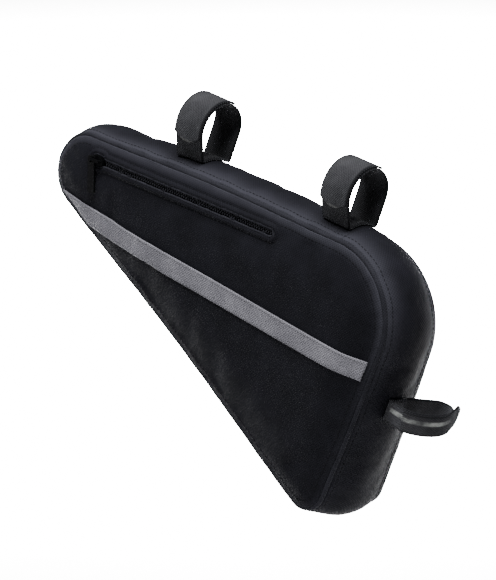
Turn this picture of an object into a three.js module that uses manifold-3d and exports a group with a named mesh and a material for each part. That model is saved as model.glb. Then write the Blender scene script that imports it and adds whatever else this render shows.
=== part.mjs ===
// A triangular bag of padded cloth that hangs in the corner of a bicycle frame.
// Three straps hold it: two round the top tube and one round the seat tube.
// Millimetres. +X runs back towards the seat tube, +Y to the bicycle's right, +Z up.
// The origin is on the top tube's centre line, in the middle of the front strap.
//
// Inside the group the frame follows the top tube, so that a place on the bag is given by
//   s  how far it lies in front of the crossing of the two tubes' centre lines
//   t  how far it lies under the top tube's centre line
//   y  how far it lies to the right of the bicycle's middle plane

import * as THREE from "three";
import { mergeVertices } from "three/addons/utils/BufferGeometryUtils.js";
import Module from "manifold-3d";

const wasm = await Module();
wasm.setup();

// The tubes that the bag is made for
const TOP_TUBE_DIAMETER = 35;
const SEAT_TUBE_DIAMETER = 31.8;
const TOP_TUBE_SLOPE = 11.9; // degrees above the ground, rising to the front
const TUBE_ANGLE = 85.2; // degrees between the two tubes

// The bag's pattern
const PANEL_LENGTH = 329; // from the rear top corner to the nose, along the top tube
const PANEL_DEPTH = 191.5; // from the top seam to the bottom corner
const REAR_GAP = 4.5; // from the seat tube's front to the pattern's rear top corner
const TOP_HALF_WIDTH = 23; // middle plane to seam at the top
const BOTTOM_HALF_WIDTH = 30; // middle plane to seam at the bottom
const LEAN = 3; // the left seam hangs this much higher, the right one lower
const CLOTH = 2; // padded cloth of the panels and the gusset
const SHOULDER_RISE = 5.5; // how far a panel stands out beside its seam
const SHOULDER_REACH = 18; // and how far from the seam it has risen
const BELLY_RISE = 1; // the further swell of a panel's middle
const BELLY_REACH = 62;
const GUSSET_CROWN = 6.5; // swell of the gusset between its two seams
const TOP_CROWN = 9; // the same under the top tube, where the straps pull it up
const NOSE_EASE = 45; // in front of the front strap the top sinks to the plain crown
const PIPING = 3.6; // diameter of the cord in both seams
const GAP = 0.3; // between pieces that touch

// Zip in the left panel
const ZIP_DROP_FRONT = 18.3; // top seam to the zip's middle at the opening's front end
const ZIP_DROP_REAR = 13.3; // and at its rear end
const ZIP_FRONT = 42; // from the nose to the opening's front end
const ZIP_REAR = 115; // from the rear top corner to the opening's rear end
const ZIP_TAPE = 1; // thickness of the tape behind the opening
const ZIP_TAPE_LAP = 2.5; // how far the tape runs on behind the cloth
const ZIP_TAPE_GAP = 0.6; // from the cloth's inside to the tape, over the cloth's facets
const COIL_WIDTH = 4.2;
const LIP_SPACE = 0.4; // from the coil to the opening's upper and lower lip
const COIL_HEIGHT = 1.8;
const SLIDER_LENGTH = 11;
const SLIDER_WIDTH = 6.4;
const SLIDER_SPACE = 0.8; // from the slider to the lips, which stand wider apart round it
const SLIDER_HEIGHT = 3.6;
const PULL_LENGTH = 26;
const PULL_WIDTH = 6;
const PULL_THICKNESS = 1.4;
const PULL_CLEARANCE = 0.95; // from the slider's top to the pull
const PULL_LAY = 9; // degrees that the pull leans in towards the panel
const POST = 2; // diameter of the slider's posts, which carry the pull
const ZIP_END_SPACE = 1; // from the slider to the ends of its wider opening
const METAL_ROUNDING = 2; // corners of the slider and the pull
const EYE_PLAY = 0.75; // round the post in the pull's eye
const EYE_WALL = 1.3; // of the pull beyond its eye
const LET_IN = 0.2; // how far a joined solid reaches into its neighbour

// Reflective stripe on the left panel
const STRIPE_DROP_FRONT = 48; // top seam to the stripe's upper edge at the nose
const STRIPE_DROP_REAR = 69.3; // and at the rear seam
const STRIPE_WIDTH = 14.2;
const STRIPE_THICKNESS = 0.8;
const STRIPE_MARGIN = 3.4; // from the seam line to the stripe's ends

// Straps, each a band closed on itself
const STRAP = 1.5; // thickness
const TOP_STRAP_WIDTH = 25;
const SEAT_STRAP_WIDTH = 16;
const FRONT_STRAP_AT = 235; // s of the strap's middle
const REAR_STRAP_AT = 100;
const SEAT_STRAP_AT = 127; // from the crossing, down along the seat tube
const SEAT_STRAP_TILT = 9; // degrees that it rises to the rear
const TOP_STRAP_FOOT = 13; // half the length that lies on the gusset
const SEAT_STRAP_FOOT = 9;
const TOP_STRAP_END = [203, 62]; // degrees round the tube, from the free end's tip
const SEAT_STRAP_END = [48, 190];
const END_LIFT = 1.6; // how far the free end's tip stands off
const END_LIFTED = 0.2; // share of the free end that stands off
const END_NARROWER = 1; // the free end is cut this much narrower than the band
const BAND_START = -16; // degrees at which a strap leaves its tube for the gusset

// The pattern's four corners, from the rear top corner round by the bottom. along and
// down are shares of PANEL_LENGTH and PANEL_DEPTH, radius and bow shares of PANEL_DEPTH.
// bow is how far the edge to the next corner swells out, or in where it is negative.
const CORNERS = [
  { name: "rear top", along: 0, down: 0, radius: 0.26, bow: 0.004 },
  { name: "bottom", along: 0.126, down: 1, radius: 0.085, bow: -0.014 },
  { name: "lower nose", along: 1, down: 0.232, radius: 0.13, bow: 0 },
  { name: "upper nose", along: 0.94, down: 0.03, radius: 0.14, bow: 0.012 },
];
const ARC_SHARE = 0.95; // the most of an edge that the arcs at its two ends take up

// Soft dents of the cloth. along and down are shares of PANEL_LENGTH and PANEL_DEPTH,
// reach a share of PANEL_DEPTH, and depth a share of SHOULDER_RISE.
const DENTS = [
  { name: "behind the nose", along: 0.84, down: 0.25, reach: 0.13, depth: 0.25 },
  { name: "middle", along: 0.47, down: 0.2, reach: 0.3, depth: 0.2 },
  { name: "above the bottom", along: 0.27, down: 0.68, reach: 0.22, depth: 0.3 },
];

const ARC_STEPS = 9; // round each corner
const EDGE_STEP = 26; // along each edge

const WELD = 1e-4; // points of a mesh nearer than this are one point

const radians = THREE.MathUtils.degToRad;
const lerp = THREE.MathUtils.lerp;
const clamp = THREE.MathUtils.clamp;

const topTubeRadius = TOP_TUBE_DIAMETER / 2;
const seatTubeRadius = SEAT_TUBE_DIAMETER / 2;
const seatLean = radians(90 - TUBE_ANGLE);
const seamTop = topTubeRadius + GAP + STRAP + GAP + CLOTH / 2 + TOP_CROWN;
const rearTop = seatTubeRadius / Math.cos(seatLean) + seamTop * Math.tan(seatLean) + REAR_GAP;

// A place of the bag in the group's frame
function place(s, y, t) {
  return new THREE.Vector3(FRONT_STRAP_AT - s, y, -t);
}

// Closed line with rounded corners: each point has its outward normal.
function seamLine() {
  const corners = CORNERS.map((c) => ({
    at: new THREE.Vector2(rearTop + c.along * PANEL_LENGTH, seamTop + c.down * PANEL_DEPTH),
    radius: c.radius * PANEL_DEPTH,
    bow: c.bow * PANEL_DEPTH,
  }));
  const turns = corners.map((c, i) => {
    const before = corners[(i + 3) % 4].at.clone().sub(c.at).normalize();
    const after = corners[(i + 1) % 4].at.clone().sub(c.at);
    const edge = after.length();
    const half = Math.acos(clamp(before.dot(after) / edge, -1, 1)) / 2;
    return { before, after: after.normalize(), edge, half, reach: c.radius / Math.tan(half) };
  });
  // Where the arcs of two neighbouring corners would meet, both are drawn tighter.
  const room = turns.map((c, i) => (ARC_SHARE * c.edge) / (c.reach + turns[(i + 1) % 4].reach));
  const rounded = turns.map((c, i) => {
    const tighter = Math.min(1, room[i], room[(i + 3) % 4]);
    const at = corners[i].at;
    const middle = c.before.clone().add(c.after).normalize();
    return {
      first: at.clone().addScaledVector(c.before, tighter * c.reach),
      last: at.clone().addScaledVector(c.after, tighter * c.reach),
      centre: at.clone().addScaledVector(middle, (tighter * corners[i].radius) / Math.sin(c.half)),
      bow: corners[i].bow,
    };
  });
  const points = [];
  rounded.forEach((c, i) => {
    const from = c.first.clone().sub(c.centre);
    const to = c.last.clone().sub(c.centre);
    const sweep = Math.atan2(from.cross(to), from.dot(to));
    for (let k = 0; k <= ARC_STEPS; k++) {
      const spoke = from.clone().rotateAround(new THREE.Vector2(), (sweep * k) / ARC_STEPS);
      points.push(spoke.add(c.centre));
    }
    const next = rounded[(i + 1) % 4];
    const along = next.first.clone().sub(c.last);
    const steps = Math.max(1, Math.round(along.length() / EDGE_STEP));
    const outward = new THREE.Vector2(-along.y, along.x).normalize();
    for (let k = 1; k < steps; k++) {
      const share = k / steps;
      const swell = 16 * c.bow * (share * (1 - share)) ** 2;
      points.push(c.last.clone().addScaledVector(along, share).addScaledVector(outward, swell));
    }
  });
  const count = points.length;
  return points.map((p, i) => {
    const along = points[(i + 1) % count].clone().sub(points[(i + count - 1) % count]);
    return { s: p.x, t: p.y, ns: -along.y / along.length(), nt: along.x / along.length() };
  });
}
const seam = seamLine();
const count = seam.length;
const centre = seam.reduce((sum, p) => ({ s: sum.s + p.s / count, t: sum.t + p.t / count }), {
  s: 0,
  t: 0,
});

function seamHalfWidth(t) {
  return lerp(TOP_HALF_WIDTH, BOTTOM_HALF_WIDTH, clamp((t - seamTop) / PANEL_DEPTH, 0, 1));
}

// How far inside the seam line a place lies
function seamDistance(s, t) {
  let nearest = Infinity;
  seam.forEach((a, i) => {
    const b = seam[(i + 1) % count];
    const ds = b.s - a.s;
    const dt = b.t - a.t;
    const share = clamp(((s - a.s) * ds + (t - a.t) * dt) / (ds * ds + dt * dt), 0, 1);
    nearest = Math.min(nearest, Math.hypot(s - a.s - share * ds, t - a.t - share * dt));
  });
  return nearest;
}

// Half the bag's width at a place of a panel, to the middle of its cloth
function panelHalfWidth(s, t) {
  const inside = seamDistance(s, t);
  const shoulder = 1 - (1 - Math.min(inside / SHOULDER_REACH, 1)) ** 2;
  const belly = 1 - (1 - Math.min(inside / BELLY_REACH, 1)) ** 2;
  let half = seamHalfWidth(t) + SHOULDER_RISE * shoulder + BELLY_RISE * belly;
  for (const dent of DENTS) {
    const ds = s - rearTop - dent.along * PANEL_LENGTH;
    const dt = t - seamTop - dent.down * PANEL_DEPTH;
    const away = Math.hypot(ds, dt) / (dent.reach * PANEL_DEPTH);
    half -= dent.depth * SHOULDER_RISE * shoulder * Math.exp(-away * away);
  }
  return half;
}

// A place on a panel, lift millimetres outside the middle of its cloth. side is -1 on
// the left panel and +1 on the right one.
function onPanel(side, s, t, lift) {
  return place(s, side * (panelHalfWidth(s, t) + lift), t + side * LEAN);
}

// How far the gusset swells at a point of the seam line: most where it faces up, from
// the front strap back
function crown(p) {
  const ahead = clamp((p.s - FRONT_STRAP_AT - TOP_STRAP_WIDTH / 2) / NOSE_EASE, 0, 1);
  return lerp(GUSSET_CROWN, TOP_CROWN, (1 - ahead) * clamp(-p.nt, 0, 1) ** 2);
}

// A place on the gusset over a point of the seam line. across runs from -1 at the left
// seam to +1 at the right one, and lift is outside the middle of the cloth.
function onGusset(p, across, lift) {
  const half = seamHalfWidth(p.t);
  const swell = crown(p) * (1 - across * across);
  const slope = (2 * crown(p) * across) / half;
  const unit = lift / Math.hypot(1, slope);
  const out = swell + unit;
  return place(p.s + p.ns * out, across * half + slope * unit, p.t + p.nt * out + across * LEAN);
}

// Meshes from grids of points

function geometryOf(points, faces) {
  const numbers = points.flatMap((p) => p.toArray());
  const geometry = new THREE.BufferGeometry();
  geometry.setAttribute("position", new THREE.Float32BufferAttribute(numbers, 3));
  geometry.setIndex(faces.flat());
  return geometry;
}

function facingOut(geometry) {
  const at = geometry.getAttribute("position");
  const index = geometry.getIndex().array;
  const [a, b, c] = [new THREE.Vector3(), new THREE.Vector3(), new THREE.Vector3()];
  let volume = 0;
  for (let i = 0; i < index.length; i += 3) {
    a.fromBufferAttribute(at, index[i]);
    b.fromBufferAttribute(at, index[i + 1]);
    c.fromBufferAttribute(at, index[i + 2]);
    volume += a.dot(b.cross(c));
  }
  if (volume > 0) return geometry;
  for (let i = 0; i < index.length; i += 3) [index[i], index[i + 1]] = [index[i + 1], index[i]];
  return geometry;
}

// A ring: each station has the same closed section, and the last one joins the first.
function ring(stations) {
  const across = stations[0].length;
  const around = stations.length;
  const faces = [];
  for (let i = 0; i < around; i++)
    for (let j = 0; j < across; j++) {
      const a = i * across + j;
      const b = i * across + ((j + 1) % across);
      const c = ((i + 1) % around) * across + ((j + 1) % across);
      const d = ((i + 1) % around) * across + j;
      faces.push([a, b, c], [a, c, d]);
    }
  return facingOut(geometryOf(stations.flat(), faces));
}

// A closed skin: rings of points between a first and a last single point
function skin(first, rings, last) {
  const around = rings[0].length;
  const points = [first, ...rings.flat(), last];
  const end = points.length - 1;
  const faces = [];
  for (let i = 0; i < around; i++) {
    const next = (i + 1) % around;
    faces.push([0, 1 + next, 1 + i]);
    for (let r = 0; r + 1 < rings.length; r++) {
      const low = 1 + r * around;
      const high = low + around;
      faces.push([low + i, low + next, high + next], [low + i, high + next, high + i]);
    }
    faces.push([end, end - around + i, end - around + next]);
  }
  return facingOut(geometryOf(points, faces));
}

// A strip of cloth: a section for each step along it, with both ends closed
function strip(sections) {
  const across = sections[0].length;
  const steps = sections.length;
  const faces = [];
  for (let i = 0; i + 1 < steps; i++)
    for (let j = 0; j < across; j++) {
      const a = i * across + j;
      const b = i * across + ((j + 1) % across);
      faces.push([a, b, b + across], [a, b + across, a + across]);
    }
  const last = (steps - 1) * across;
  for (let j = 1; j + 1 < across; j++) {
    faces.push([0, j + 1, j]);
    faces.push([last, last + j, last + j + 1]);
  }
  return facingOut(geometryOf(sections.flat(), faces));
}

// The same mesh with its points joined
function welded(geometry) {
  const bare = geometry.clone();
  bare.deleteAttribute("normal");
  bare.deleteAttribute("uv");
  return mergeVertices(bare, WELD);
}

function solidOf(geometry) {
  const merged = welded(geometry);
  return new wasm.Manifold(
    new wasm.Mesh({
      numProp: 3,
      vertProperties: merged.getAttribute("position").array,
      triVerts: new Uint32Array(merged.getIndex().array),
    }),
  );
}

function geometryFrom(solid) {
  const mesh = solid.getMesh();
  const geometry = new THREE.BufferGeometry();
  const at = new THREE.BufferAttribute(new Float32Array(mesh.vertProperties), 3);
  geometry.setAttribute("position", at);
  geometry.setIndex(new THREE.BufferAttribute(new Uint32Array(mesh.triVerts), 1));
  return geometry;
}

// Panels

const RING_SHARES = [0, 0.05, 0.11, 0.19, 0.32, 0.52, 0.76]; // from the seam to the middle

function panel(side) {
  const inset = PIPING / 2 + GAP;
  const ringAt = (share, lift) =>
    seam.map((p) => {
      const s = lerp(p.s - p.ns * inset, centre.s, share);
      const t = lerp(p.t - p.nt * inset, centre.t, share);
      return onPanel(side, s, t, lift);
    });
  const outer = RING_SHARES.map((share) => ringAt(share, CLOTH / 2)).reverse();
  const inner = RING_SHARES.map((share) => ringAt(share, -CLOTH / 2));
  const pole = (lift) => onPanel(side, centre.s, centre.t, lift);
  return skin(pole(CLOTH / 2), [...outer, ...inner], pole(-CLOTH / 2));
}

// The zip's line falls a little from the top seam towards the nose. Both of its ends are
// round.
const zipFront = rearTop + PANEL_LENGTH - ZIP_FRONT;
const zipRear = rearTop + ZIP_REAR;
const zipFall = (ZIP_DROP_FRONT - ZIP_DROP_REAR) / (zipFront - zipRear);
const zipTilt = Math.atan(zipFall);

function zipLine(s) {
  return seamTop + ZIP_DROP_REAR + (s - zipRear) * zipFall;
}

// Cuts the panel open from one value of s to another, half this height above and below
// the zip's line
function zipOpening(from, to, half) {
  const outline = new THREE.Shape();
  const quarter = Math.PI / 2;
  const [rear, front] = [from + half, to - half];
  outline.absarc(rear, zipLine(rear), half, quarter + zipTilt, 3 * quarter + zipTilt, false);
  outline.absarc(front, zipLine(front), half, zipTilt - quarter, zipTilt + quarter, false);
  const depth = BOTTOM_HALF_WIDTH + SHOULDER_RISE + BELLY_RISE + CLOTH;
  const cutter = new THREE.ExtrudeGeometry(outline, { depth, bevelEnabled: false, curveSegments: 6 });
  const at = cutter.getAttribute("position");
  for (let i = 0; i < at.count; i++) {
    const spot = place(at.getX(i), -at.getZ(i), at.getY(i) - LEAN);
    at.setXYZ(i, spot.x, spot.y, spot.z);
  }
  return facingOut(welded(cutter));
}

const coilSlot = COIL_WIDTH / 2 + LIP_SPACE; // half the opening's height along the coil
const sliderSlot = SLIDER_WIDTH / 2 + SLIDER_SPACE; // and at the slider

function leftPanel() {
  const alongCoil = zipOpening(zipRear, zipFront - sliderSlot, coilSlot);
  const atSlider = zipOpening(zipFront - SLIDER_LENGTH - 2 * ZIP_END_SPACE, zipFront, sliderSlot);
  return geometryFrom(solidOf(panel(-1)).subtract(solidOf(alongCoil).add(solidOf(atSlider))));
}

// A strip that lies along the left panel, from low to high lift over its cloth's middle.
// edges gives its two edges at a share of its length, as [s, t] pairs.
function stripOnPanel(steps, edges, low, high, lines = 2) {
  const sections = [];
  for (let i = 0; i <= steps; i++) {
    const [upper, lower] = edges(i / steps);
    const row = [];
    for (let k = 0; k < lines; k++) {
      const share = k / (lines - 1);
      row.push([lerp(upper[0], lower[0], share), lerp(upper[1], lower[1], share)]);
    }
    const top = row.map(([s, t]) => onPanel(-1, s, t, high));
    const under = row.map(([s, t]) => onPanel(-1, s, t, low)).reverse();
    sections.push([...top, ...under]);
  }
  return strip(sections);
}

function alongZip(front, rear, half) {
  return (share) => {
    const s = lerp(front, rear, share);
    return [
      [s, zipLine(s) - half],
      [s, zipLine(s) + half],
    ];
  };
}

const tapeTop = -CLOTH / 2 - ZIP_TAPE_GAP;

function zipTape() {
  const edges = alongZip(zipFront + ZIP_TAPE_LAP, zipRear - ZIP_TAPE_LAP, sliderSlot + ZIP_TAPE_LAP);
  return stripOnPanel(24, edges, tapeTop - ZIP_TAPE, tapeTop, 4);
}

function zipCoil() {
  const front = sliderAt - SLIDER_LENGTH / 2 - GAP;
  const edges = alongZip(front, zipRear + coilSlot, COIL_WIDTH / 2);
  return stripOnPanel(24, edges, tapeTop + GAP, tapeTop + GAP + COIL_HEIGHT);
}

// The slider lies in the opening's front end, one gap in front of the coil. It and its
// pull are drawn flat, x along the zip and z off the panel, and turned onto the panel.
const sliderAt = zipFront - ZIP_END_SPACE - SLIDER_LENGTH / 2;
const sliderLow = tapeTop + GAP;
const sliderTop = sliderLow + SLIDER_HEIGHT;
const postAt = SLIDER_LENGTH / 2 - POST;
const bridgeLow = sliderTop + PULL_CLEARANCE + PULL_THICKNESS + 2 * GAP;

function roundedPlate(middle, length, height, radius) {
  const [x, y] = [length / 2 - radius, height / 2 - radius];
  const plate = new THREE.Shape();
  plate.absarc(x, middle - y, radius, -Math.PI / 2, 0, false);
  plate.absarc(x, middle + y, radius, 0, Math.PI / 2, false);
  plate.absarc(-x, middle + y, radius, Math.PI / 2, Math.PI, false);
  plate.absarc(-x, middle - y, radius, Math.PI, 1.5 * Math.PI, false);
  return plate;
}

function plate(outline, low, high) {
  const settings = { depth: high - low, bevelEnabled: false, curveSegments: 4 };
  return new THREE.ExtrudeGeometry(outline, settings).translate(0, 0, low);
}

function post(x) {
  const height = bridgeLow - sliderTop + 2 * LET_IN;
  const round = new THREE.CylinderGeometry(POST / 2, POST / 2, height, 10);
  return round.rotateX(Math.PI / 2).translate(x, 0, sliderTop - LET_IN + height / 2);
}

function zipSlider() {
  const base = roundedPlate(0, SLIDER_LENGTH, SLIDER_WIDTH, METAL_ROUNDING);
  const top = roundedPlate(0, 2 * postAt + POST, POST, POST / 2 - LET_IN);
  const body = plate(base, sliderLow, sliderTop);
  const bridge = plate(top, bridgeLow, bridgeLow + POST / 2);
  return geometryFrom(
    [body, bridge, post(-postAt), post(postAt)].map(solidOf).reduce((whole, part) => whole.add(part)),
  );
}

// A flat tab with a round eye. It hangs on the slider's front post.
function zipPull() {
  const eye = POST / 2 + EYE_PLAY;
  const drop = EYE_PLAY - GAP;
  const top = eye - drop + EYE_WALL;
  const tab = roundedPlate(top - PULL_LENGTH / 2, PULL_WIDTH, PULL_LENGTH, METAL_ROUNDING);
  const hole = new THREE.Path();
  hole.absarc(0, -drop, eye, 0, 2 * Math.PI, true);
  tab.holes.push(hole);
  return plate(tab, 0, PULL_THICKNESS);
}

// Reflective stripe

// The two values of s at which a line crosses the seam line drawn in by margin
function crossings(tAt, margin) {
  const found = [];
  seam.forEach((a, i) => {
    const b = seam[(i + 1) % count];
    const [sa, ta] = [a.s - a.ns * margin, a.t - a.nt * margin];
    const [sb, tb] = [b.s - b.ns * margin, b.t - b.nt * margin];
    const before = ta - tAt(sa);
    const after = tb - tAt(sb);
    if (before < 0 === after < 0) return;
    found.push(lerp(sa, sb, before / (before - after)));
  });
  return [Math.max(...found), Math.min(...found)];
}

function stripe() {
  const edge = (drop) => {
    const front = rearTop + PANEL_LENGTH;
    const fall = (STRIPE_DROP_REAR - STRIPE_DROP_FRONT) / PANEL_LENGTH;
    const tAt = (s) => seamTop + STRIPE_DROP_FRONT + drop + (front - s) * fall;
    const [from, to] = crossings(tAt, STRIPE_MARGIN);
    return (share) => {
      const s = lerp(from, to, share);
      return [s, tAt(s)];
    };
  };
  const upper = edge(0);
  const lower = edge(STRIPE_WIDTH);
  const low = CLOTH / 2 + GAP;
  return stripOnPanel(34, (share) => [upper(share), lower(share)], low, low + STRIPE_THICKNESS, 3);
}

// Gusset and piping

const ACROSS = 6; // flat facets of the gusset between its seams

function gusset() {
  const stations = seam.map((p) => {
    const reach = 1 - (PIPING / 2 + GAP) / seamHalfWidth(p.t);
    const outer = [];
    const inner = [];
    for (let k = 0; k <= ACROSS; k++) {
      const across = reach * (-1 + (2 * k) / ACROSS);
      outer.push(onGusset(p, across, CLOTH / 2));
      inner.unshift(onGusset(p, across, -CLOTH / 2));
    }
    return [...outer, ...inner];
  });
  return ring(stations);
}

function piping(side) {
  const sides = 6;
  const stations = seam.map((p) => {
    const section = [];
    for (let k = 0; k < sides; k++) {
      const turn = (2 * Math.PI * (k + 0.5)) / sides;
      const out = (PIPING / 2) * Math.cos(turn);
      const y = side * seamHalfWidth(p.t) + (PIPING / 2) * Math.sin(turn);
      section.push(place(p.s + p.ns * out, y, p.t + p.nt * out + side * LEAN));
    }
    return section;
  });
  return ring(stations);
}

// Straps

// The gusset's surface nearest to a point of the side view, lift outside its cloth
function gussetNear(s, t, y, lift) {
  let best = { away: Infinity };
  seam.forEach((a, i) => {
    const b = seam[(i + 1) % count];
    const along = new THREE.Vector2(b.s - a.s, b.t - a.t);
    const share = clamp(((s - a.s) * along.x + (t - a.t) * along.y) / along.lengthSq(), 0, 1);
    const p = { s: a.s + share * along.x, t: a.t + share * along.y };
    const away = Math.hypot(s - p.s, t - p.t);
    const length = along.length();
    if (away < best.away) best = { ...p, ns: -along.y / length, nt: along.x / length, away };
  });
  return onGusset(best, y / seamHalfWidth(best.t), CLOTH / 2 + lift);
}

const BAND_STEPS = 24; // round the tube
const FOOT_STEPS = 6; // along the foot that lies on the gusset
const END_STEPS = 18; // along the free end
const MITRE_LEAST = 0.7; // keeps a mitre at a sharp corner from running out far

// The middle of a strap's cloth at w along its tube: over the tube, then along the foot
function strapPath(tube, w) {
  const radius = tube.radius + GAP + STRAP / 2;
  const path = [];
  for (let k = 0; k <= BAND_STEPS; k++)
    path.push(onTube(tube, w, lerp(BAND_START, 180 - BAND_START, k / BAND_STEPS), radius));
  for (let k = 0; k <= FOOT_STEPS; k++)
    path.push(tube.foot(w, lerp(-tube.footLength, tube.footLength, k / FOOT_STEPS)));
  return path;
}

// A place round a tube: 0 degrees is to the right, 90 away from the bag, 180 to the left.
function onTube(tube, w, degrees, radius) {
  const turn = radians(degrees);
  return tube.at(w, radius * Math.cos(turn), radius * Math.sin(turn));
}

// The path moved sideways by lift, with its corners mitred
function beside(path, axis, lift) {
  return path.map((p, i) => {
    const before = p.clone().sub(path.at(i - 1)).normalize();
    const after = path[(i + 1) % path.length].clone().sub(p).normalize();
    const out = axis.clone().cross(before.clone().add(after)).normalize();
    const square = axis.clone().cross(after).normalize();
    return p.clone().addScaledVector(out, lift / Math.max(out.dot(square), MITRE_LEAST));
  });
}

function strapBand(tube) {
  const lines = [-1, 0, 1].map((share) => (share * tube.width) / 2);
  const outer = lines.map((w) => beside(strapPath(tube, w), tube.axis, STRAP / 2));
  const inner = lines.map((w) => beside(strapPath(tube, w), tube.axis, -STRAP / 2)).reverse();
  const sides = [...outer, ...inner];
  return ring(sides[0].map((_, i) => sides.map((side) => side[i])));
}

// The strap's free end, pressed onto the band and let into it by a hair
function strapEnd(tube) {
  const edges = [-1, 1].map((share) => (share * (tube.width - END_NARROWER)) / 2);
  const sections = [];
  for (let k = 0; k <= END_STEPS; k++) {
    const share = k / END_STEPS;
    const raise = END_LIFT * clamp(1 - share / END_LIFTED, 0, 1) ** 2;
    const low = tube.radius + GAP + STRAP - LET_IN + raise;
    const turn = lerp(tube.end[0], tube.end[1], share);
    const top = edges.map((w) => onTube(tube, w, turn, low + STRAP));
    const under = edges.map((w) => onTube(tube, w, turn, low)).reverse();
    sections.push([...top, ...under]);
  }
  return strip(sections);
}

function strap(tube) {
  return geometryFrom(solidOf(strapBand(tube)).add(solidOf(strapEnd(tube))));
}

// A strap round the top tube, with w along the tube to the rear
function topTubeStrap(at) {
  return {
    radius: topTubeRadius,
    width: TOP_STRAP_WIDTH,
    footLength: TOP_STRAP_FOOT,
    end: TOP_STRAP_END,
    axis: new THREE.Vector3(1, 0, 0),
    at: (w, side, out) => place(at - w, side, -out),
    foot: (w, y) => gussetNear(at - w, seamTop, y, GAP + STRAP / 2),
  };
}

// The strap round the seat tube, with w up the tube
function seatTubeStrap() {
  const down = new THREE.Vector2(Math.sin(seatLean), Math.cos(seatLean));
  const back = new THREE.Vector2(-Math.cos(seatLean), Math.sin(seatLean));
  const rise = Math.tan(radians(SEAT_STRAP_TILT));
  const spotAt = (w, out) =>
    down.clone().multiplyScalar(SEAT_STRAP_AT - w - rise * out).addScaledVector(back, out);
  return {
    radius: seatTubeRadius,
    width: SEAT_STRAP_WIDTH,
    footLength: SEAT_STRAP_FOOT,
    end: SEAT_STRAP_END,
    axis: new THREE.Vector3(-down.x, 0, down.y),
    at: (w, side, out) => place(spotAt(w, out).x, side, spotAt(w, out).y),
    foot: (w, y) => {
      const spot = spotAt(w, -2 * seatTubeRadius);
      return gussetNear(spot.x, spot.y, y, GAP + STRAP / 2);
    },
  };
}

// Materials

const paddedCloth = { color: "#232327", roughness: 0.85, metalness: 0 };
const pipingCloth = { color: "#2c2c30", roughness: 0.75, metalness: 0 };
const tapeCloth = { color: "#17171a", roughness: 0.9, metalness: 0 };
const coilNylon = { color: "#101012", roughness: 0.5, metalness: 0 };
const paintedZinc = { color: "#1b1b1d", roughness: 0.45, metalness: 0.6 };
const reflectiveTape = { color: "#9b9a9f", roughness: 0.45, metalness: 0.1 };
const webbing = { color: "#3a3b3c", roughness: 0.9, metalness: 0 };

function piece(name, geometry, material) {
  const mesh = new THREE.Mesh(geometry, new THREE.MeshStandardMaterial(material));
  mesh.name = name;
  return mesh;
}

const bag = new THREE.Group();
bag.rotation.y = radians(TOP_TUBE_SLOPE);
bag.add(piece("left_panel", leftPanel(), paddedCloth));
bag.add(piece("right_panel", panel(1), paddedCloth));
bag.add(piece("gusset", gusset(), paddedCloth));
bag.add(piece("left_piping", piping(-1), pipingCloth));
bag.add(piece("right_piping", piping(1), pipingCloth));
bag.add(piece("zip_tape", zipTape(), tapeCloth));
bag.add(piece("zip_coil", zipCoil(), coilNylon));
bag.add(piece("reflective_stripe", stripe(), reflectiveTape));
bag.add(piece("front_strap", strap(topTubeStrap(FRONT_STRAP_AT)), webbing));
bag.add(piece("rear_strap", strap(topTubeStrap(REAR_STRAP_AT)), webbing));
bag.add(piece("seat_tube_strap", strap(seatTubeStrap()), webbing));

// The slider lies flat on the panel's slope. Its pull hangs straight down from it.
const sliderDown = zipLine(sliderAt);
const slope = panelHalfWidth(sliderAt, sliderDown + 1) - panelHalfWidth(sliderAt, sliderDown - 1);
const onSlope = new THREE.Group();
onSlope.position.copy(onPanel(-1, sliderAt, sliderDown, 0));
onSlope.rotation.set(Math.PI / 2 - Math.atan(slope / 2), 0, zipTilt);
onSlope.add(piece("zip_slider", zipSlider(), paintedZinc));
const pull = piece("zip_pull", zipPull(), paintedZinc);
pull.position.set(-postAt, 0, sliderTop + PULL_CLEARANCE);
pull.rotation.set(radians(PULL_LAY), 0, radians(TOP_TUBE_SLOPE) - zipTilt);
onSlope.add(pull);
bag.add(onSlope);

export default bag;
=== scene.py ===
import math

import bmesh
import bpy
import numpy as np
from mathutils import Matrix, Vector
from mathutils.bvhtree import BVHTree


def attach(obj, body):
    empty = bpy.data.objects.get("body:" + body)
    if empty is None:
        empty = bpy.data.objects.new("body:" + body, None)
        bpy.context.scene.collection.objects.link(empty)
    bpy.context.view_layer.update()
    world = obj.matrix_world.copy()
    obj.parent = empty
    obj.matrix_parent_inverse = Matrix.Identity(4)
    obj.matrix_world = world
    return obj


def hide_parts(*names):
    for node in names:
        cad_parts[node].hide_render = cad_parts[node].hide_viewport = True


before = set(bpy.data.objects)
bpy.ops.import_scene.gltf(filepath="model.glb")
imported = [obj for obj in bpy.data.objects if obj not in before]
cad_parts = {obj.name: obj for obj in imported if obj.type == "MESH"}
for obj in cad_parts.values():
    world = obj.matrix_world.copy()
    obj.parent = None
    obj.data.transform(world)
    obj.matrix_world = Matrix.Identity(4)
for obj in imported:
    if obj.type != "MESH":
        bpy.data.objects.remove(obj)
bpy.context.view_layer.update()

# The form of the bag
# Two panels and a gusset of foam-backed nylon, sewn to one pattern with rounded corners.
# The cloth is blown out by a cloth simulation that is held at the seams and at the zip.
# A place is s forward along the top tube, y to the right and t below the tube, in mm.

MM = 0.001
SLOPE = math.radians(11.9)
FRONT_STRAP_AT = 235


def in_row(s, y, t):
    """The place in the frame of the row, in metres."""
    s, y, t = np.broadcast_arrays(np.asarray(s, float), y, t)
    x, z = FRONT_STRAP_AT - s, -t
    turned_x = x * math.cos(SLOPE) + z * math.sin(SLOPE)
    turned_z = z * math.cos(SLOPE) - x * math.sin(SLOPE)
    return np.stack([turned_x, y, turned_z], -1) * MM


def unit(ways):
    return ways / np.linalg.norm(ways, axis=-1, keepdims=True)


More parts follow.
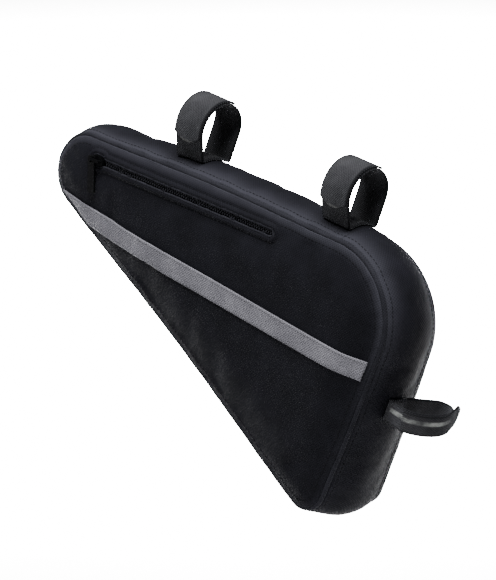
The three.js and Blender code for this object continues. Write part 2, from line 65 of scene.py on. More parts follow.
def run_along(line):
    """How far along the line each of its points lies."""
    return np.concatenate([[0], np.cumsum(np.linalg.norm(np.diff(line, axis=0), axis=1))])


def places_at(line, run, at):
    return np.stack([np.interp(at, run, line[:, k]) for k in range(line.shape[1])], -1)


PANEL_LENGTH = 329
PANEL_DEPTH = 191.5
SEAM_TOP = 29.6
REAR_TOP = 22.95

# The corners at the rear top, the bottom, the lower nose and the upper nose, as shares of the
# panel's length and depth. bow is how far the edge after each one swells.
CORNERS = [
    {"along": 0, "down": 0, "radius": 0.26, "bow": 0.004},
    {"along": 0.126, "down": 1, "radius": 0.085, "bow": -0.014},
    {"along": 1, "down": 0.232, "radius": 0.13, "bow": 0},
    {"along": 0.94, "down": 0.03, "radius": 0.14, "bow": 0.012},
]
ARC_POINTS = 40
EDGE_POINTS = 120
SEAM_POINTS = 440


def corner_arcs():
    """Where the round of each corner begins and ends, and its centre."""
    spots = [np.array([REAR_TOP + corner["along"] * PANEL_LENGTH, SEAM_TOP + corner["down"] * PANEL_DEPTH])
             for corner in CORNERS]
    arcs = []
    for i, corner in enumerate(CORNERS):
        before = unit(spots[i - 1] - spots[i])
        after = unit(spots[(i + 1) % 4] - spots[i])
        half = math.acos(before @ after) / 2
        radius = corner["radius"] * PANEL_DEPTH
        reach = radius / math.tan(half)
        centre = spots[i] + unit(before + after) * radius / math.sin(half)
        arcs.append((spots[i] + before * reach, spots[i] + after * reach, centre))
    return arcs


def seam_line():
    """The seam's even points, the way out of it at each, how far along they lie, and its length."""
    arcs = corner_arcs()
    line = []
    for i, (first, last, centre) in enumerate(arcs):
        a, b = first - centre, last - centre
        sweep = math.atan2(a[0] * b[1] - a[1] * b[0], a @ b)
        for turn in np.linspace(0, sweep, ARC_POINTS):
            c, d = math.cos(turn), math.sin(turn)
            line.append(centre + np.array([a[0] * c - a[1] * d, a[0] * d + a[1] * c]))
        along = arcs[(i + 1) % 4][0] - last
        out = unit(np.array([-along[1], along[0]]))
        for share in np.linspace(0, 1, EDGE_POINTS)[1:-1]:
            swell = 16 * CORNERS[i]["bow"] * PANEL_DEPTH * (share * (1 - share)) ** 2
            line.append(last + along * share + out * swell)
    line = np.array(line + [line[0]])
    run = run_along(line)
    at = np.linspace(0, run[-1], SEAM_POINTS + 1)[:-1]
    even = places_at(line, run, at)
    along = unit(np.roll(even, -1, 0) - np.roll(even, 1, 0))
    return even, np.stack([-along[:, 1], along[:, 0]], -1), at, run[-1]


seam, outward, seam_run, seam_length = seam_line()
seam_centre = seam.mean(0)
CLOSED = np.arange(SEAM_POINTS + 1) % SEAM_POINTS


def along_seam(run, values):
    """A value that is known at the seam's points, at any run along it."""
    return np.interp(run, seam_run, values, period=seam_length)


def seam_nearest(s, t):
    """How far from the seam each place lies, and the run of the nearest point on the seam."""
    points = np.stack([np.ravel(s), np.ravel(t)], -1)
    step = np.roll(seam, -1, 0) - seam
    long = (step * step).sum(-1)
    inside, run = np.empty(len(points)), np.empty(len(points))
    at_once = 4000
    for first in range(0, len(points), at_once):
        some = slice(first, first + at_once)
        away = points[some, None, :] - seam[None]
        share = np.clip((away * step).sum(-1) / long, 0, 1)
        far = np.linalg.norm(away - share[..., None] * step, axis=-1)
        best = far.argmin(1)
        rows = np.arange(len(best))
        inside[some] = far[rows, best]
        run[some] = seam_run[best] + share[rows, best] * np.sqrt(long[best])
    return inside.reshape(np.shape(s)), run.reshape(np.shape(s))


TOP_HALF_WIDTH = 23
BOTTOM_HALF_WIDTH = 30


def seam_half_width(t):
    deep = np.clip((t - SEAM_TOP) / PANEL_DEPTH, 0, 1)
    return TOP_HALF_WIDTH + (BOTTOM_HALF_WIDTH - TOP_HALF_WIDTH) * deep


SHOULDER = {"rise": 5.5, "reach": 18}
BELLY = {"rise": 1, "reach": 62}

# Shallow dents behind the nose, in the middle and above the bottom.
DENTS = [
    {"along": 0.84, "down": 0.25, "reach": 0.13, "depth": 0.25},
    {"along": 0.47, "down": 0.2, "reach": 0.3, "depth": 0.2},
    {"along": 0.27, "down": 0.68, "reach": 0.22, "depth": 0.3},
]


def risen(inside, form):
    return form["rise"] * (1 - (1 - np.minimum(inside / form["reach"], 1)) ** 2)


def panel_half_width(s, t):
    inside = seam_nearest(s, t)[0]
    shoulder = risen(inside, SHOULDER)
    half = seam_half_width(t) + shoulder + risen(inside, BELLY)
    for dent in DENTS:
        ds = s - REAR_TOP - dent["along"] * PANEL_LENGTH
        dt = t - SEAM_TOP - dent["down"] * PANEL_DEPTH
        away = np.hypot(ds, dt) / (dent["reach"] * PANEL_DEPTH)
        half = half - dent["depth"] * shoulder * np.exp(-away * away)
    return half


GUSSET_CROWN = 6.5
TOP_CROWN = 9
TOP_STRAP_WIDTH = 25
NOSE_EASE = 45


def crown_height():
    """How far the gusset's middle stands out of the seam. It is most under the top tube."""
    ahead = np.clip((seam[:, 0] - FRONT_STRAP_AT - TOP_STRAP_WIDTH / 2) / NOSE_EASE, 0, 1)
    facing_up = np.clip(-outward[:, 1], 0, 1) ** 2
    return GUSSET_CROWN + (TOP_CROWN - GUSSET_CROWN) * (1 - ahead) * facing_up


crown = crown_height()
CLOTH = 2
LEAN = 3


def panel_rings(side, shares):
    rings = []
    for share in shares:
        s, t = (seam + (seam_centre - seam) * share).T
        rings.append(in_row(s, side * (panel_half_width(s, t) + CLOTH / 2), t + side * LEAN))
    return rings


def gusset_row(across):
    half = seam_half_width(seam[:, 1])
    out = crown * (1 - across * across) + CLOTH / 2
    s, t = (seam + outward * out[:, None]).T
    return in_row(s, across * half, t + across * LEAN)


def add_mesh(name, points, faces):
    mesh = bpy.data.meshes.new(name)
    mesh.from_pydata([tuple(p) for p in points], [], [tuple(f) for f in faces])
    obj = bpy.data.objects.new(name, mesh)
    bpy.context.scene.collection.objects.link(obj)
    return obj


def face_outward(obj):
    work = bmesh.new()
    work.from_mesh(obj.data)
    bmesh.ops.recalc_face_normals(work, faces=work.faces)
    work.to_mesh(obj.data)
    work.free()


FORM_SHARES = [0.02, 0.06, 0.11, 0.18, 0.28, 0.4, 0.55, 0.7, 0.85, 0.97]


def padded_form():
    """The closed skin of both panels and the gusset, before it is blown out."""
    left = panel_rings(-1, FORM_SHARES[::-1])
    rows = [gusset_row(across) for across in np.linspace(-0.95, 0.95, 9)]
    rings = left + rows + panel_rings(1, FORM_SHARES)
    points = np.concatenate(rings)
    faces = [tuple(range(SEAM_POINTS))]
    for r in range(len(rings) - 1):
        for i in range(SEAM_POINTS):
            j = (i + 1) % SEAM_POINTS
            low, high = r * SEAM_POINTS, (r + 1) * SEAM_POINTS
            faces.append((low + i, high + i, high + j, low + j))
    faces.append(tuple(reversed(range(len(points) - SEAM_POINTS, len(points)))))
    skin = add_mesh("padded_form", points, faces)
    face_outward(skin)
    return skin


ZIP = {"drop_front": 18.3, "drop_rear": 13.3, "front": 42, "rear": 115}
COIL_SLOT = 2.5
SLIDER_SLOT = {"half": 4.0, "length": 13}
zip_front = REAR_TOP + PANEL_LENGTH - ZIP["front"]
zip_rear = REAR_TOP + ZIP["rear"]


def zip_line(s):
    fall = (ZIP["drop_front"] - ZIP["drop_rear"]) / (zip_front - zip_rear)
    return SEAM_TOP + ZIP["drop_rear"] + (s - zip_rear) * fall


def opening(rear, front, half):
    """A slot with round ends along the zip's line: its two end centres and its half height."""
    ends = [np.array([s, zip_line(s)]) for s in (rear + half, front - half)]
    return ends[0], ends[1], half


along_coil = opening(zip_rear, zip_front - SLIDER_SLOT["half"], COIL_SLOT)
at_slider = opening(zip_front - SLIDER_SLOT["length"], zip_front, SLIDER_SLOT["half"])


def outside(slot, s, t):
    rear, front, half = slot
    long = front - rear
    share = np.clip(((s - rear[0]) * long[0] + (t - rear[1]) * long[1]) / (long @ long), 0, 1)
    return np.hypot(s - rear[0] - share * long[0], t - rear[1] - share * long[1]) - half


def slot_distance(s, t):
    return np.minimum(outside(along_coil, s, t), outside(at_slider, s, t))


def back_to_pattern(points):
    x, z = points[:, 0] / MM, points[:, 2] / MM
    flat_x = x * math.cos(SLOPE) - z * math.sin(SLOPE)
    flat_z = x * math.sin(SLOPE) + z * math.cos(SLOPE)
    return FRONT_STRAP_AT - flat_x, points[:, 1] / MM, -flat_z


BLOWN = {"voxel": 0.004, "pressure": 3.0, "slack": -0.012, "frames": 20, "cap": 3.0}
HELD = {"seam": 4, "slot": 6}


def blow(skin):
    """Lets the air in the bag push the cloth out. No point goes further than the cap."""
    rest = np.array([v.co[:] for v in skin.data.vertices])
    s, y, t = back_to_pattern(rest)
    half = seam_half_width(t)
    t = t - LEAN * np.clip(y / half, -1, 1)
    from_seam = np.hypot(seam_nearest(s, t)[0], np.abs(np.abs(y) - half))
    held = (from_seam < HELD["seam"]) | ((y < -half) & (slot_distance(s, t) < HELD["slot"]))
    group = skin.vertex_groups.new(name="held")
    group.add([int(i) for i in np.flatnonzero(held)], 1.0, "REPLACE")
    settings = skin.modifiers.new("Cloth", "CLOTH").settings
    settings.quality = 5
    settings.mass = 0.3
    settings.use_pressure = True
    settings.uniform_pressure_force = BLOWN["pressure"]
    settings.shrink_min = BLOWN["slack"]
    settings.effector_weights.gravity = 0
    settings.vertex_group_mass = "held"
    for number in range(1, BLOWN["frames"] + 1):
        bpy.context.scene.frame_set(number)
    seen = skin.evaluated_get(bpy.context.evaluated_depsgraph_get())
    step = np.array([v.co[:] for v in seen.data.vertices]) - rest
    far = np.linalg.norm(step, axis=1)[:, None]
    step *= np.minimum(1, BLOWN["cap"] * MM / np.maximum(far, 1e-9))
    skin.modifiers.clear()
    bpy.context.scene.frame_set(1)
    skin.data.vertices.foreach_set("co", (rest + step).ravel())


form = padded_form()
form.data.remesh_voxel_size = BLOWN["voxel"]
bpy.context.view_layer.objects.active = form
form.select_set(True)
bpy.ops.object.voxel_remesh()
blow(form)
ease = form.modifiers.new("Ease", "SMOOTH")
ease.iterations = 6
finer = form.modifiers.new("Finer", "SUBSURF")
finer.levels = finer.render_levels = 2
surface = BVHTree.FromObject(form, bpy.context.evaluated_depsgraph_get())
bpy.data.objects.remove(form)


def struck(starts, ways):
    """How far from each start, in mm, a line along its way meets the blown cloth."""
    found = np.full(len(starts), np.nan)
    for i, (start, way) in enumerate(zip(starts, ways)):
        found[i] = (surface.ray_cast(Vector(start), Vector(way))[3] or np.nan) / MM
    return found


def smooth(low, high, value):
    share = np.clip((value - low) / (high - low), 0, 1)
    return share * share * (3 - 2 * share)


def waves(draw, run, lengths):
    return sum(np.sin(2 * math.pi * run / long + draw.uniform(0, 6.28)) for long in lengths)


PUCKER = {"lengths": (8.3, 12.1, 19.7, 34.0), "height": 0.16, "reach": 6}
SLACK = {"lengths": (27.0, 43.0), "height": 0.28, "reach": 14}
SEAM_WRAP = {"height": 0.8, "reach": 1.5}


def pucker(run, inside):
    """Small waves that the seam's thread draws the cloth into, and longer ones of slack cloth."""
    draw = np.random.default_rng(11)
    total = 0
    for kind in (PUCKER, SLACK):
        total = total + waves(draw, run, kind["lengths"]) * kind["height"] * np.exp(-inside / kind["reach"])
    return total * (1 - np.exp(-inside / SEAM_WRAP["reach"]))


def seam_wrap(from_seam):
    """The cloth rises a little beside the seam, where it is folded against the piping."""
    return SEAM_WRAP["height"] * np.exp(-from_seam / SEAM_WRAP["reach"])


WELT = {"height": 0.8, "at": 1.9, "wide": 1.3}
GROOVE = {"height": -0.4, "at": 4.3, "wide": 0.8}


def welt_height(from_slot):
    """Round the slot the cloth is rolled over its lip, and drawn down by a row of stitches."""
    return sum(fold["height"] * np.exp(-((from_slot - fold["at"]) / fold["wide"]) ** 2)
               for fold in (WELT, GROOVE))


FAR_OUT = 80
MOST_SWELL = 3
SWELL_FROM = {"seam": (3, 10), "slot": (3, 12)}


def skin_y(side, s, t):
    """How far the outer face of a panel lies from the bag's middle."""
    inside, run = seam_nearest(s, t)
    plain = panel_half_width(s, t) + CLOTH / 2
    starts = in_row(s, side * FAR_OUT, t + side * LEAN).reshape(-1, 3)
    ways = np.tile([0, -side, 0], (len(starts), 1))
    blown = (FAR_OUT - struck(starts, ways)).reshape(np.shape(s))
    swell = np.nan_to_num(np.clip(blown - plain, -MOST_SWELL, MOST_SWELL))
    swell *= smooth(*SWELL_FROM["seam"], inside)
    welt = 0
    if side < 0:
        from_slot = slot_distance(s, t)
        swell *= smooth(*SWELL_FROM["slot"], from_slot)
        welt = welt_height(from_slot)
    return plain + swell + welt + seam_wrap(inside) + pucker(run, inside)


# Left panel
# 600 denier nylon over foam, cut to the pattern and sewn into the piped seam.
# A slot with round ends is cut along its top for the zip, and is wider round the slider.

def srgb(code):
    parts = [int(code[i:i + 2], 16) / 255 for i in (1, 3, 5)]
    return tuple(p / 12.92 if p <= 0.04045 else ((p + 0.055) / 1.055) ** 2.4 for p in parts) + (1.0,)


def add(tree, kind, inputs=None, **settings):
    node = tree.nodes.new(kind)
    for name, value in settings.items():
        setattr(node, name, value)
    for name, value in (inputs or {}).items():
        if isinstance(value, bpy.types.NodeSocket):
            tree.links.new(value, node.inputs[name])
        else:
            node.inputs[name].default_value = value
    return node


def blank(name):
    material = bpy.data.materials.new(name)
    material.use_nodes = True
    material.node_tree.nodes.clear()
    return material, material.node_tree


def maths(tree, operation, first, second=0.0, clamped=False):
    inputs = {0: first, 1: second}
    return add(tree, "ShaderNodeMath", inputs, operation=operation, use_clamp=clamped).outputs[0]


def mapped(tree, value, span, onto=(0.0, 1.0)):
    return add(tree, "ShaderNodeMapRange", {"Value": value, "From Min": span[0], "From Max": span[1],
                                            "To Min": onto[0], "To Max": onto[1]}).outputs[0]


def blended(tree, factor, first, second):
    mix = add(tree, "ShaderNodeMix", {"Factor": factor}, data_type="RGBA")
    for socket in mix.inputs:
        given = {"A": first, "B": second}.get(socket.name) if socket.type == "RGBA" else None
        if isinstance(given, bpy.types.NodeSocket):
            tree.links.new(given, socket)
        elif given:
            socket.default_value = given
    return [socket for socket in mix.outputs if socket.type == "RGBA"][0]


def bumped(tree, height, strength, distance):
    given = {"Height": height, "Strength": strength, "Distance": distance}
    return add(tree, "ShaderNodeBump", given).outputs["Normal"]


def shaded(tree, inputs):
    shader = add(tree, "ShaderNodeBsdfPrincipled", inputs)
    add(tree, "ShaderNodeOutputMaterial", {"Surface": shader.outputs["BSDF"]})


def noise(tree, place, scale, detail, roughness=0.5):
    given = {"Vector": place, "Scale": scale, "Detail": detail, "Roughness": roughness}
    return add(tree, "ShaderNodeTexNoise", given).outputs["Fac"]


def woven(name, ground, thread, pitch=(1.0, 1.0), relief=0.3, roughness=0.75, sheen=0.02,
          patch=0.35, marks=()):
    """Plain weave on the piece's own UV map, in mm. Its colour goes from ground in the weave's hollows to
    thread on its crowns: painted shade in the hollows and painted light on the crowns.

    patch is how much the colour clouds over the piece, and each mark changes the colour by place."""
    material, tree = blank(name)
    place = add(tree, "ShaderNodeUVMap").outputs["UV"]
    axes = add(tree, "ShaderNodeSeparateXYZ", {"Vector": place}).outputs
    over_under = [maths(tree, "SINE", maths(tree, "MULTIPLY", axes[axis], math.pi / gap))
                  for axis, gap in zip("XY", pitch)]
    weave = maths(tree, "MULTIPLY", *over_under)
    cloud = noise(tree, place, scale=0.045, detail=5.0, roughness=0.6)
    slub = noise(tree, place, scale=0.9, detail=3.0, roughness=0.7)
    # The weave's high cells are painted toward the thread colour, as painted light, and its low cells toward
    # the ground, as painted shade.
    lit = mapped(tree, weave, (-1.0, 1.0), (0.0, 0.6))
    worn = mapped(tree, cloud, (0.35, 0.7), (-patch / 2, patch))
    speck = mapped(tree, slub, (0.3, 0.75), (-0.15, 0.25))
    share = maths(tree, "ADD", maths(tree, "ADD", lit, worn), speck, clamped=True)
    shade = blended(tree, share, srgb(ground), srgb(thread))
    for mark in marks:
        shade = mark(tree, place, axes, shade)
    shaded(tree, {
        "Base Color": shade, "Roughness": roughness, "Specular IOR Level": 0.03, "Sheen Weight": sheen,
        "Sheen Roughness": 0.45, "Sheen Tint": srgb("#c9ccd6"),
        "Normal": bumped(tree, maths(tree, "ADD", weave, slub), relief, 0.0004)})
    return material


def seam_painted_highlight(tree, place, axes, shade):
    """Paler where the piece's point attribute says: a painted highlight along the seams' rounded edges."""
    seam_highlight = add(tree, "ShaderNodeAttribute", attribute_name="seam_highlight").outputs["Fac"]
    return blended(tree, seam_highlight, shade, srgb("#2d2d33"))


def grid_piece(name, points, uv, material, thickness=0, keep=None, marks=None):
    """A piece from rows and columns of places in the row frame, with UV in millimetres.

    keep says which cells there are, and marks gives point attributes by name."""
    rows, columns = points.shape[:2]
    index = np.arange(rows * columns).reshape(rows, columns)
    quads = np.stack([index[:-1, :-1], index[:-1, 1:], index[1:, 1:], index[1:, :-1]], -1).reshape(-1, 4)
    if keep is not None:
        quads = quads[keep.ravel()]
    obj = add_mesh(name, points.reshape(-1, 3), quads)
    mesh = obj.data
    layer = mesh.uv_layers.new(name="UVMap")
    corner = np.empty(len(mesh.loops), int)
    mesh.loops.foreach_get("vertex_index", corner)
    layer.data.foreach_set("uv", uv.reshape(-1, 2)[corner].ravel())
    for mark, share in (marks or {}).items():
        attribute = mesh.attributes.new(mark, "FLOAT", "POINT")
        attribute.data.foreach_set("value", share.astype(np.float32).ravel())
    work = bmesh.new()
    work.from_mesh(mesh)
    bmesh.ops.remove_doubles(work, verts=work.verts, dist=1e-6)
    bmesh.ops.delete(work, geom=[v for v in work.verts if not v.link_faces], context="VERTS")
    work.to_mesh(mesh)
    work.free()
    mesh.shade_smooth()
    mesh.materials.append(material)
    if thickness:
        wall = obj.modifiers.new("Wall", "SOLIDIFY")
        wall.thickness = thickness * MM
        wall.offset = -1
        wall.use_even_offset = False
    return obj


# Dull black yarn that swallows light, with a faint blue-grey painted highlight along the seams, where the cloth
# rolls over them, fading down the bag. The yarns are 0.5 mm apart, and are drawn at 1 mm so that they still
# show.
nylon = woven("nylon_600_denier", "#08080b", "#131318", marks=[seam_painted_highlight])
# The pale bloom along the seams is a painted highlight: strongest beside them, weaker down the bag.
SEAM_HIGHLIGHT = {"most": 0.62, "panel": 4, "gusset": 9, "less": 0.8, "less_over": (70, 140)}


def seam_highlight_at(from_seam, reach, t):
    """How strong the painted seam highlight is: most beside the seam, and less down the bag."""
    left = 1 - SEAM_HIGHLIGHT["less"] * smooth(*SEAM_HIGHLIGHT["less_over"], t)
    return SEAM_HIGHLIGHT["most"] * np.exp(-(from_seam / reach) ** 2) * left


def cell_middles(grid):
    return (grid[:-1, :-1] + grid[1:, :-1] + grid[:-1, 1:] + grid[1:, 1:]) / 4


HALF_CELL = {"along": 0.9, "down": 0.32}


def drawn_to_slot(s, t):
    """Moves the grid's points near the slot onto its edge, so that the cut is clean."""
    step = 0.05
    for _ in range(3):
        off = slot_distance(s, t)
        gs = (slot_distance(s + step, t) - slot_distance(s - step, t)) / (2 * step)
        gt = (slot_distance(s, t + step) - slot_distance(s, t - step)) / (2 * step)
        near = np.abs(off) < HALF_CELL["along"] * np.abs(gs) + HALF_CELL["down"] * np.abs(gt)
        s, t = s - np.where(near, off * gs, 0), t - np.where(near, off * gt, 0)
    return s, t


PANEL_TUCK = 0.5
PLAIN_SHARES = np.linspace(0, 1, 46) ** 1.35
ZIP_SIDE_SHARES = np.concatenate([
    np.linspace(0, 0.08, 9)[:-1], np.linspace(0.08, 0.34, 36)[:-1], np.linspace(0.34, 1, 22)])


def panel_piece(name, side, material):
    shares = ZIP_SIDE_SHARES if side < 0 else PLAIN_SHARES
    start = (seam - outward * PANEL_TUCK)[CLOSED]
    grid = start[None] + (seam_centre - start)[None] * shares[:, None, None]
    s, t = grid[..., 0], grid[..., 1]
    keep = None
    if side < 0:
        s, t = drawn_to_slot(s, t)
        keep = slot_distance(cell_middles(s), cell_middles(t)) > 0
    points = in_row(s, side * skin_y(side, s, t), t + side * LEAN)
    if side < 0:
        points, s, t, keep = (part[:, ::-1] for part in (points, s, t, keep))
    # The panels' painted seam highlight, kept as a point attribute.
    marks = {"seam_highlight": seam_highlight_at(seam_nearest(s, t)[0], SEAM_HIGHLIGHT["panel"], t)}
    return grid_piece(name, points, np.stack([s, t], -1), material, CLOTH, keep, marks)


left_panel = panel_piece("left_panel_cloth", -1, nylon)
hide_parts("left_panel")
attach(left_panel, "root")

# Right panel
# The same nylon and foam, cut to the same pattern, with nothing sewn onto it.
# It lies away from the camera of the photograph, and is finished as plainly as the left one.

right_panel = panel_piece("right_panel_cloth", 1, nylon)
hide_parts("right_panel")
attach(right_panel, "root")

# Gusset
# One long band of the same cloth that runs round between the panels and gives the bag its width.
# It is drawn up in the middle under the top tube, where the straps pull at it.

GUSSET_EDGE = 0.975
GUSSET_ROWS = 27
SWELL_UNTIL = (0.7, 0.92)
DEEP_IN = 6
OTHER_WAVES = 500


def gusset_out(run, across):
    """How far out of the seam line the gusset's face lies, and where, for arrays of places."""
    base = np.stack([along_seam(run, seam[:, k]) for k in (0, 1)], -1)
    way = unit(np.stack([along_seam(run, outward[:, k]) for k in (0, 1)], -1))
    half = seam_half_width(base[..., 1])
    plain = along_seam(run, crown) * (1 - across * across) + CLOTH / 2
    inner = base - way * DEEP_IN
    starts = in_row(inner[..., 0], across * half, inner[..., 1] + across * LEAN).reshape(-1, 3)
    ends = in_row(base[..., 0], across * half, base[..., 1] + across * LEAN).reshape(-1, 3)
    blown = (struck(starts, unit(ends - starts)) - DEEP_IN).reshape(plain.shape)
    swell = np.nan_to_num(np.clip(blown - plain, -MOST_SWELL, MOST_SWELL))
    swell *= 1 - smooth(*SWELL_UNTIL, np.abs(across))
    from_seam = (1 - np.abs(across)) * half
    waved = pucker(run + OTHER_WAVES * (across > 0), from_seam)
    return base, way, half, plain + swell + seam_wrap(from_seam) + waved


def on_gusset(run, across, lift):
    base, way, half, out = gusset_out(run, across)
    spot = base + way * (out + lift)[..., None]
    return in_row(spot[..., 0], across * half, spot[..., 1] + across * LEAN)


around = np.append(seam_run, seam_length)
runs, acrosses = np.meshgrid(around, np.linspace(-GUSSET_EDGE, GUSSET_EDGE, GUSSET_ROWS))
gusset_uv = np.stack([runs, acrosses * TOP_HALF_WIDTH], -1)
gusset_t = along_seam(runs, seam[:, 1])
from_seam = (1 - np.abs(acrosses)) * seam_half_width(gusset_t)
# The gusset's painted seam highlight, kept as a point attribute.
gusset_marks = {"seam_highlight": seam_highlight_at(from_seam, SEAM_HIGHLIGHT["gusset"], gusset_t)}
gusset = grid_piece("gusset_cloth", on_gusset(runs, acrosses, 0), gusset_uv, nylon, CLOTH, marks=gusset_marks)
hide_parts("gusset")
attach(gusset, "root")

# Piping
# A cord wrapped in a strip of cloth cut on the bias, sewn into both seams all the way round.
# It follows the thread's small waves, and so do its highlights.

PIPING = {"across": 3.6, "wave": 0.25, "waved_at": 3.0, "sides": 14}

# The panels' yarn over the cord, painted a little paler than the cloth beside it: a soft painted highlight
# along the piping and the slot's lips. Its yarns are drawn at 0.9 mm for the same reason.
highlit_bias_nylon = woven("piping_bias_nylon_painted_highlight", "#131317", "#212126", pitch=(0.9, 0.9))


def swept(name, path, ways, sides, radii, material):
    """A closed tube along a closed path. ways gives two directions across it at each point."""
    turns = np.linspace(0, 2 * math.pi, sides + 1)
    ring = np.cos(turns)[:, None, None] * ways[0][None] + np.sin(turns)[:, None, None] * ways[1][None]
    points = path[None] + ring * radii[None, :, None] * MM
    run = run_along(path) / MM
    uv = np.stack(np.broadcast_arrays(run[None], (turns * radii.mean())[:, None]), -1)
    return grid_piece(name, points, uv, material)


for side, name in ((-1, "left"), (1, "right")):
    spot = seam[CLOSED]
    path = in_row(spot[:, 0], side * seam_half_width(spot[:, 1]), spot[:, 1] + side * LEAN)
    tip = spot + outward[CLOSED]
    out = (in_row(tip[:, 0], 0, tip[:, 1]) - in_row(spot[:, 0], 0, spot[:, 1])) / MM
    flat = np.tile([0.0, float(side), 0.0], (len(path), 1))
    wave = pucker(around, np.full(len(around), PIPING["waved_at"]))
    wave[-1] = wave[0]
    radii = PIPING["across"] / 2 + PIPING["wave"] * wave
    tube = swept(name + "_piping_cord", path, (out, flat), PIPING["sides"], radii, highlit_bias_nylon)
    face_outward(tube)
    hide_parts(name + "_piping")
    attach(tube, "root")

# Zip tape
# Two woven polyester tapes behind the slot, whose edges the coil's two halves are sewn to.
# Only the strip between the slot's lips shows.

TAPE = {"drop": 2.6, "lap": 2.5, "thickness": 1.0, "cells": (8, 120)}

# Flat polyester yarn without the panels' painted seam highlight: darker than the panels, so that it reads as
# painted shade, the depth behind the teeth. Its yarns are drawn at 1.1 mm.
tape_polyester = woven("zip_tape_polyester", "#0b0b0e", "#141418", (1.1, 1.1), 0.35, 0.8, 0.05)


def on_left(s, t, lift):
    return in_row(s, -(skin_y(-1, s, t) + lift), t - LEAN)


def strip_on_left(name, upper, lower, lift, thickness, cells, material):
    """A thin strip along the left panel. Each edge is its front and rear s, and t for any s."""
    rows, columns = cells
    down, back = np.linspace(0, 1, rows)[:, None], np.linspace(0, 1, columns)[None]
    edges = []
    for ends, level in (upper, lower):
        s = np.interp(back, [0, 1], ends)
        edges.append((s, level(s)))
    s, t = (edges[0][k] + (edges[1][k] - edges[0][k]) * down for k in (0, 1))
    points = on_left(s, t, lift)
    return grid_piece(name, points[:, ::-1], np.stack([s, t], -1)[:, ::-1], material, thickness)


def tape_edge(side):
    ends = (zip_front + TAPE["lap"], zip_rear - TAPE["lap"])

    def level(s):
        return zip_line(s) + side * (SLIDER_SLOT["half"] + TAPE["lap"])
    return ends, level


zip_tape = strip_on_left("zip_tape_cloth", tape_edge(-1), tape_edge(1), -TAPE["drop"], TAPE["thickness"],
                         TAPE["cells"], tape_polyester)
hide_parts("zip_tape")
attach(zip_tape, "root")

# Zip coil
# Two rows of nylon loops, each sewn to its tape, that lock into each other tooth by tooth.
# Their pitch is 1.5 mm on the real one and is drawn at 2.1 mm, so that the teeth still show.

def smooth_solid(name, base, roughness, gleam, grain):
    """A solid without a weave, whose gloss varies a little over it. grain is the scale of its noise."""
    material, tree = blank(name)
    place = add(tree, "ShaderNodeTexCoord").outputs["Object"]
    fine = noise(tree, place, scale=grain, detail=4.0)
    gloss = mapped(tree, fine, (0.0, 1.0), (roughness - 0.12, roughness + 0.12))
    shaded(tree, {"Base Color": srgb(base), "Roughness": gloss, "Specular IOR Level": gleam,
                  "Normal": bumped(tree, fine, 0.15, 0.0002)})
    return material


def row_tree():
    """Sets a small rounded solid at even steps along lines, turned along the line and outwards."""
    tree = bpy.data.node_groups.new("row_of_solids", "GeometryNodeTree")
    face = tree.interface
    for name, kind in (("Geometry", "Geometry"), ("Spacing", "Float"), ("Length", "Float"), ("Width", "Float"),
                       ("Height", "Float"), ("Unevenness", "Float"), ("Seed", "Int"), ("Material", "Material")):
        face.new_socket(name, in_out="INPUT", socket_type="NodeSocket" + kind)
    face.new_socket("Geometry", in_out="OUTPUT", socket_type="NodeSocketGeometry")
    given = add(tree, "NodeGroupInput").outputs
    curve = add(tree, "GeometryNodeMeshToCurve", {"Mesh": given["Geometry"]})
    even = add(tree, "GeometryNodeResampleCurve", {"Curve": curve.outputs[0], "Length": given["Spacing"]},
               mode="LENGTH")
    tangent = add(tree, "GeometryNodeInputTangent")
    out = add(tree, "GeometryNodeInputNamedAttribute", {"Name": "out"}, data_type="FLOAT_VECTOR")
    ahead = add(tree, "FunctionNodeAlignRotationToVector", {"Vector": tangent.outputs[0]}, axis="X")
    turned = add(tree, "FunctionNodeAlignRotationToVector", {
        "Rotation": ahead.outputs[0], "Vector": out.outputs[0]}, axis="Z", pivot_axis="X")
    ball = add(tree, "GeometryNodeMeshUVSphere", {"Segments": 8, "Rings": 5, "Radius": 0.5})
    size = add(tree, "ShaderNodeCombineXYZ", {
        "X": given["Length"], "Y": given["Width"], "Z": given["Height"]})
    solid = add(tree, "GeometryNodeTransform", {"Geometry": ball.outputs["Mesh"], "Scale": size.outputs[0]})
    vary = add(tree, "FunctionNodeRandomValue", {"Seed": given["Seed"]}, data_type="FLOAT")
    for name, operation in (("Min", "SUBTRACT"), ("Max", "ADD")):
        bound = maths(tree, operation, 1.0, given["Unevenness"])
        tree.links.new(bound, [s for s in vary.inputs if s.name == name and s.enabled][0])
    amount = [s for s in vary.outputs if s.enabled][0]
    placed = add(tree, "GeometryNodeInstanceOnPoints", {
        "Points": even.outputs[0], "Instance": solid.outputs[0], "Rotation": turned.outputs[0],
        "Scale": amount})
    real = add(tree, "GeometryNodeRealizeInstances", {"Geometry": placed.outputs[0]})
    soft = add(tree, "GeometryNodeSetShadeSmooth", {"Geometry": real.outputs[0]})
    done = add(tree, "GeometryNodeSetMaterial", {"Geometry": soft.outputs[0], "Material": given["Material"]})
    add(tree, "NodeGroupOutput", {"Geometry": done.outputs[0]})
    return tree


row_of_solids = row_tree()


